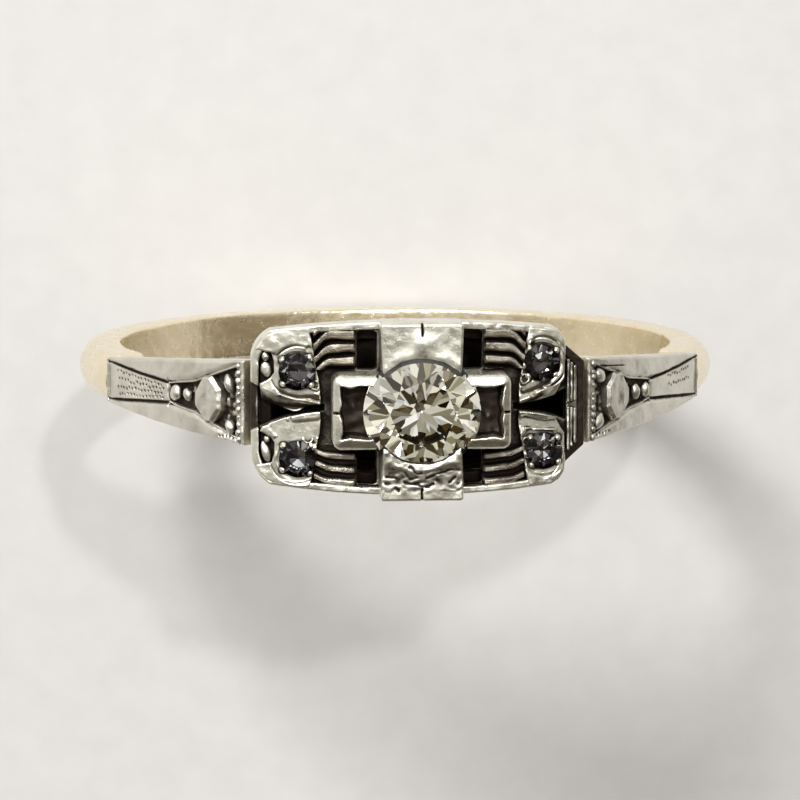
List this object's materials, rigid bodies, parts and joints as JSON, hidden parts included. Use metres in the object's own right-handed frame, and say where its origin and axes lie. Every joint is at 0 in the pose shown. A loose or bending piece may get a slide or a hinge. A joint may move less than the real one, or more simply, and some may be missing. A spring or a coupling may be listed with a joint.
{
  "type": "engagement ring",
  "caption": "Finger ring with a slim gold hoop, carved platinum-faced shoulders and a long pierced head holding a round diamond in a cross of claw plates with small diamonds at its corners.",
  "frame": {"origin": "centre of the finger hole, on its axis, halfway along the band's width", "axes": "+Y along the finger hole's axis, +Z from the finger out through the centre diamond, +X to the wearer's right across the head"},
  "size_m": [0.0194, 0.005, 0.0222],
  "materials": {
    "yellow_gold": "softly worn polished yellow gold",
    "platinum": "polished platinum with fine wear",
    "engraved_platinum": "hand-carved and stippled platinum, worn bright on the high points",
    "darkened_platinum": "platinum dulled and darkened in its recesses",
    "diamond": "clear faceted diamond with a faint warm tint"
  },
  "bodies": {
    "root": {"centre_collet": "platinum", "centre_diamond": "diamond", "claw_plate_east": "platinum", "claw_plate_north": "platinum", "claw_plate_south": "platinum", "claw_plate_west": "platinum", "corner_diamond_back_left": "diamond", "corner_diamond_back_right": "diamond", "corner_diamond_front_left": "diamond", "corner_diamond_front_right": "diamond", "end_beads_left": "platinum", "end_ribs_right": "platinum", "finger_bearer": "yellow_gold", "fluted_panel_back_left": "darkened_platinum", "fluted_panel_back_right": "darkened_platinum", "fluted_panel_front_left": "darkened_platinum", "fluted_panel_front_right": "darkened_platinum", "gallery_back": "yellow_gold", "gallery_end_left": "yellow_gold", "gallery_end_right": "yellow_gold", "gallery_front": "yellow_gold", "head_rim": "platinum", "leaf_mount_back_left": "platinum", "leaf_mount_back_right": "platinum", "leaf_mount_front_left": "platinum", "leaf_mount_front_right": "platinum", "milgrain_bar_left": "engraved_platinum", "milgrain_bar_right": "engraved_platinum", "pierced_plate": "darkened_platinum", "shank": "yellow_gold", "shoulder_beads_left": "engraved_platinum", "shoulder_beads_right": "engraved_platinum", "shoulder_facing_left": "engraved_platinum", "shoulder_facing_right": "engraved_platinum", "shoulder_stud_left": "engraved_platinum", "shoulder_stud_right": "engraved_platinum"}
  },
  "joints": []
}
